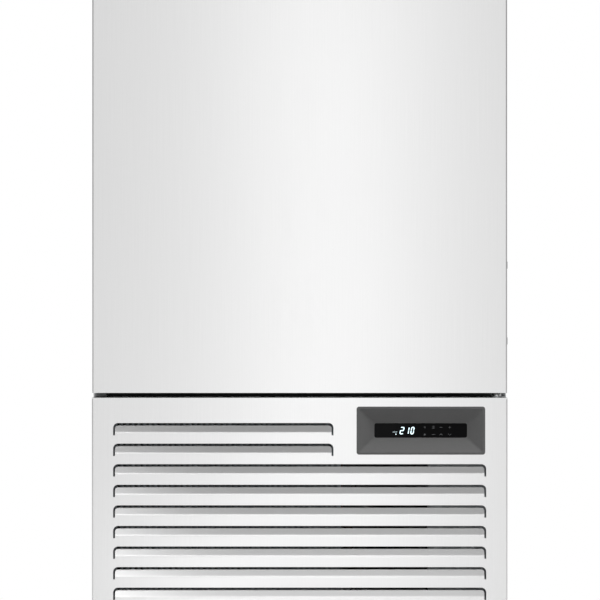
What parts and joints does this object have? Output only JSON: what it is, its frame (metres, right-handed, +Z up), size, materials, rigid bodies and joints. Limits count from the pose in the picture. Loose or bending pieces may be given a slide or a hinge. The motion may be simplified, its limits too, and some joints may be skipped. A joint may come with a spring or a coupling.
{
  "type": "blast chiller",
  "caption": "Upright stainless blast chiller: one tall insulated door with a side grip, a chamber with tray racks, and a louvred machine compartment below.",
  "frame": {"origin": "on the floor, under the middle of the machine's width and of its depth from bezel to wall spacers", "axes": "+Z up, +X to the right as seen from the front, +Y from the front to the back"},
  "size_m": [0.8, 0.815, 1.61],
  "materials": {
    "brushed_steel": "finely brushed stainless sheet, grain upright on the door",
    "chamber_steel": "smooth stainless sheet",
    "galvanised_steel": "dull galvanised sheet",
    "hinge_steel": "satin steel",
    "screw_steel": "plain machined steel",
    "bright_wire": "bright wire",
    "fin_aluminium": "mill finish",
    "copper": "drawn copper",
    "valve_brass": "turned brass",
    "black_enamel": "semi-gloss black enamel",
    "black_plastic": "moulded, fine grain",
    "grip_plastic": "extruded, satin",
    "bezel_plastic": "moulded, satin",
    "smoked_window": "polished, smoked",
    "pale_nylon": "moulded nylon",
    "black_rubber": "matt rubber",
    "foam": "foamed polyurethane"
  },
  "bodies": {
    "cabinet": {"side_panel_left": "brushed_steel", "side_panel_right": "brushed_steel", "top_panel": "brushed_steel", "back_panel": "galvanised_steel", "floor_pan": "galvanised_steel", "front_frame": "brushed_steel", "sill_seal": "black_rubber", "foam_insulation": "foam", "inner_liner": "chamber_steel", "rack_uprights": "chamber_steel", "tray_runners": "chamber_steel", "fan_panel": "chamber_steel", "chamber_fan_guards": "bright_wire", "fan_motors": "galvanised_steel", "evaporator_fins": "fin_aluminium", "evaporator_end_plates": "galvanised_steel", "coil_bends": "copper", "drip_pan": "chamber_steel", "drain_pipe": "pale_nylon", "evaporation_tray": "chamber_steel", "base_pan": "galvanised_steel", "corner_posts": "galvanised_steel", "front_rail": "galvanised_steel", "louvred_panel": "brushed_steel", "control_bezel": "bezel_plastic", "control_window": "smoked_window", "control_housing": "black_plastic", "screws": "screw_steel", "compressor": "black_enamel", "compressor_terminal_box": "black_plastic", "compressor_mounts": "black_rubber", "condenser_fins": "fin_aluminium", "condenser_shroud": "galvanised_steel", "liquid_receiver": "black_enamel", "filter_drier": "copper", "expansion_valve": "valve_brass", "discharge_line": "copper", "liquid_line": "copper", "suction_line": "copper", "electrical_box": "galvanised_steel", "rear_grille": "galvanised_steel", "cable_glands": "black_plastic", "wall_spacers": "black_plastic", "leg_sleeves": "brushed_steel", "hinge_brackets": "hinge_steel"},
    "door": {"door_skin": "brushed_steel", "door_liner": "chamber_steel", "door_core": "foam", "door_gasket": "black_rubber", "door_handle": "grip_plastic", "door_end_caps": "black_plastic", "hinge_bushes": "pale_nylon", "door_plugs": "black_plastic"},
    "upper_fan": {"chamber_fan_upper": "black_plastic"},
    "lower_fan": {"chamber_fan_lower": "black_plastic"},
    "condenser_fan_rotor": {"condenser_fan": "black_plastic"},
    "front_left_foot": {"foot_front_left": "screw_steel"},
    "front_right_foot": {"foot_front_right": "screw_steel"},
    "rear_left_foot": {"foot_rear_left": "screw_steel"},
    "rear_right_foot": {"foot_rear_right": "screw_steel"}
  },
  "joints": [
    {"name": "door_hinge", "type": "hinge", "parent": "cabinet", "child": "door", "pos_m": [0.38, -0.3838, 0.5654], "axis": [0, 0, 1], "range_deg": [0, 110]},
    {"name": "upper_fan_spin", "type": "hinge", "parent": "cabinet", "child": "upper_fan", "pos_m": [0, 0.1155, 1.2974], "axis": [0, 1, 0], "continuous": true},
    {"name": "lower_fan_spin", "type": "hinge", "parent": "cabinet", "child": "lower_fan", "pos_m": [0, 0.1155, 0.8674], "axis": [0, 1, 0], "continuous": true},
    {"name": "condenser_fan_spin", "type": "hinge", "parent": "cabinet", "child": "condenser_fan_rotor", "pos_m": [-0.14, -0.2713, 0.3264], "axis": [0, 1, 0], "continuous": true},
    {"name": "front_left_foot_screw", "type": "slide", "parent": "cabinet", "child": "front_left_foot", "axis": [0, 0, -1], "range_m": [0, 0.03]},
    {"name": "front_right_foot_screw", "type": "slide", "parent": "cabinet", "child": "front_right_foot", "axis": [0, 0, -1], "range_m": [0, 0.03]},
    {"name": "rear_left_foot_screw", "type": "slide", "parent": "cabinet", "child": "rear_left_foot", "axis": [0, 0, -1], "range_m": [0, 0.03]},
    {"name": "rear_right_foot_screw", "type": "slide", "parent": "cabinet", "child": "rear_right_foot", "axis": [0, 0, -1], "range_m": [0, 0.03]}
  ]
}
